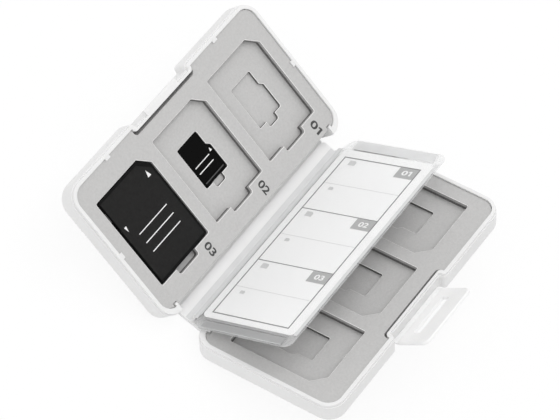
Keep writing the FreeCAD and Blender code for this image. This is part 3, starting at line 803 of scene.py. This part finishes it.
def sleeve_flange():
    """Milky flange of the sleeve, welded flat on the spine beside the rib and over the rib's top, in a grey
    that is partly painted shade of the sleeve above it.
    """
    still = Matrix.Identity(4)
    low, high = local_box("sleeve_strip", still)
    beside = rectangle(low.x, high.x, -FLANGE_REACH, -RIB_HALF)
    rib_low, rib_high = low.x + RIB_INSET, high.x - RIB_INSET
    over = [rectangle(rib_low, rib_high, -RIB_HALF, -CREASE_HALF),
            rectangle(rib_low, rib_high, CREASE_HALF, RIB_HALF)]
    for name, outlines, level in (("sleeve_flange", [beside], SPINE_TOP), ("sleeve_rib_cap", over, RIB_TOP)):
        piece = prisms(name, outlines, level - INK, level + INK, still, WELD_FLANGE_SHADE)
        finish_piece(piece, "spine")


def adapter_marks():
    """Blank label with plain ruled lines and two arrows on the card adapter."""
    low, high = local_box("adapter_top_shell", LID)
    level = high.z + LABEL_THICK
    left, right = low.x + LABEL_MARGIN, high.x - LABEL_MARGIN
    rear, front = low.y + LABEL_MARGIN, high.y - LABEL_MARGIN
    outline = [(left, rear), (right, rear), (right, front - LABEL_CUT),
               (right - LABEL_CUT, front), (left, front)]
    label = prisms("adapter_label", [outline], high.z - LABEL_THICK, level, LID, LABEL)
    finish_piece(label, "adapter")
    insert = arrow(right - ARROW_FROM_RIGHT, front - ARROW_FROM_FRONT, ARROW_HALF, ARROW_LENGTH)
    lock = arrow(left + LOCK_FROM_LEFT, front - LOCK_FROM_FRONT, -LOCK_HALF, -LOCK_LENGTH)
    rules = ruled_lines(left + RULE_MARGIN, right - RULE_MARGIN, low.y + RULE_FIRST, RULE_PITCH, RULE_COUNT)
    marks = printed("adapter_marks", [insert, lock] + rules, level, LID, WHITE_INK)
    finish_piece(marks, "adapter")


def micro_card_marks():
    """Plain ruled lines, an arrow and a painted highlight line along the ridge on the small card."""
    low, high = local_box("micro_card_body", LID)
    left, right = low.x + CARD_RULE_LEFT, high.x - CARD_RULE_RIGHT
    rules = ruled_lines(left, right, low.y + CARD_RULE_FIRST, CARD_RULE_PITCH, CARD_RULE_COUNT)
    insert = arrow(high.x - CARD_ARROW_FROM_RIGHT, low.y + CARD_ARROW_FROM_REAR,
                   CARD_ARROW_HALF, CARD_ARROW_LENGTH)
    marks = printed("micro_card_marks", [insert] + rules, low.z + CARD_FACE, LID, WHITE_INK)
    finish_piece(marks, "micro_card")
    # Painted highlight: a lighter, glossier strip along the ridge's front edge
    edge = rectangle(low.x + RIDGE_MARGIN, high.x - RIDGE_MARGIN, low.y + RIDGE_LOW, low.y + RIDGE_HIGH)
    glint = prisms("micro_card_ridge_glint", [edge], high.z - INK, high.z + INK / 2, LID, RIDGE_GLINT)
    finish_piece(glint, "micro_card")


# Camera, light and floor


def camera():
    """Camera at the photograph's place."""
    azimuth, elevation = math.radians(CAMERA_AZIMUTH), math.radians(CAMERA_ELEVATION)
    back = Vector((math.cos(elevation) * math.cos(azimuth), math.cos(elevation) * math.sin(azimuth),
                   math.sin(elevation)))
    data = bpy.data.cameras.new("camera")
    data.sensor_fit = "HORIZONTAL"
    data.sensor_width = SENSOR_WIDTH
    data.lens = CAMERA_LENS
    data.clip_start = CLIP_NEAR
    data.clip_end = CLIP_FAR
    turn = (-back).to_track_quat("-Z", "Y").to_matrix() @ Matrix.Rotation(math.radians(CAMERA_ROLL), 3, "Z")
    view = bpy.data.objects.new("camera", data)
    view.matrix_world = Matrix.Translation(Vector(CAMERA_PLACE) * MM) @ turn.to_4x4()
    bpy.context.scene.collection.objects.link(view)
    bpy.context.scene.camera = view


def seen_directly(tree):
    """Value of 1 for rays that show the background itself, seen, mirrored or through something clear."""
    path = tree.nodes.new("ShaderNodeLightPath")
    seen = path.outputs["Is Camera Ray"]
    for other in ("Is Glossy Ray", "Is Transmission Ray"):
        either = tree.nodes.new("ShaderNodeMath")
        either.operation = "MAXIMUM"
        tree.links.new(seen, either.inputs[0])
        tree.links.new(path.outputs[other], either.inputs[1])
        seen = either.outputs["Value"]
    return seen


def floor():
    """Pale floor that shows as white and keeps a soft shadow."""
    mesh = bpy.data.meshes.new("floor")
    outline = rectangle(-FLOOR_HALF, FLOOR_HALF, -FLOOR_HALF, FLOOR_HALF)
    mesh.from_pydata([(x, y, FLOOR_LEVEL) for x, y in outline], [], [(0, 1, 2, 3)])
    material = new_material("floor_pale", grey(FLOOR_TONE), FLOOR_ROUGHNESS)
    tree = material.node_tree
    white = tree.nodes.new("ShaderNodeEmission")
    white.inputs["Color"].default_value = WHITE
    white.inputs["Strength"].default_value = 1.0
    mix = tree.nodes.new("ShaderNodeMixShader")
    share = tree.nodes.new("ShaderNodeMath")
    share.operation = "MULTIPLY"
    share.inputs[1].default_value = FLOOR_WHITE_SHARE
    tree.links.new(seen_directly(tree), share.inputs[0])
    tree.links.new(share.outputs["Value"], mix.inputs["Fac"])
    tree.links.new(shader_of(material).outputs["BSDF"], mix.inputs[1])
    tree.links.new(white.outputs["Emission"], mix.inputs[2])
    tree.links.new(mix.outputs["Shader"], tree.nodes["Material Output"].inputs["Surface"])
    new_piece("floor", mesh, material)


def world():
    """Even soft light from all round, with a white background."""
    sky = bpy.data.worlds.new("studio")
    sky.use_nodes = True
    bpy.context.scene.world = sky
    tree = sky.node_tree
    soft = tree.nodes["Background"]
    soft.inputs["Color"].default_value = WHITE
    soft.inputs["Strength"].default_value = SKY_STRENGTH
    white = tree.nodes.new("ShaderNodeBackground")
    white.inputs["Color"].default_value = WHITE
    white.inputs["Strength"].default_value = 1.0
    mix = tree.nodes.new("ShaderNodeMixShader")
    tree.links.new(seen_directly(tree), mix.inputs["Fac"])
    tree.links.new(soft.outputs["Background"], mix.inputs[1])
    tree.links.new(white.outputs["Background"], mix.inputs[2])
    tree.links.new(mix.outputs["Shader"], tree.nodes["World Output"].inputs["Surface"])


def soft_lamp(name, direction, distance, size, power):
    """Square soft box that looks at the object."""
    data = bpy.data.lights.new(name, "AREA")
    data.shape = "SQUARE"
    data.size = size
    data.energy = power
    lamp = bpy.data.objects.new(name, data)
    toward = Vector(direction).normalized()
    lamp.location = Vector(LAMP_TARGET) + toward * distance
    lamp.rotation_mode = "QUATERNION"
    lamp.rotation_quaternion = toward.to_track_quat("Z", "Y")
    bpy.context.scene.collection.objects.link(lamp)


bpy.context.scene.view_settings.view_transform = "Standard"
camera()
world()
floor()
for lamp_name, lamp_values in LAMPS.items():
    soft_lamp(lamp_name, **lamp_values)

dress_nodes()
for half, (half_place, first_number) in HALVES.items():
    for layer in FOAM_LAYERS:
        foam_sheet(half + "_foam_" + layer, half, half_place, layer == FOAM_LAYERS[0])
    foam_top = local_box(half + "_foam_" + FOAM_LAYERS[0], half_place)[1].z
    foam_numbers(half, half_place, first_number, foam_top)
hinge_webs()
index_print()
sleeve_welds()
sleeve_flange()
adapter_marks()
micro_card_marks()
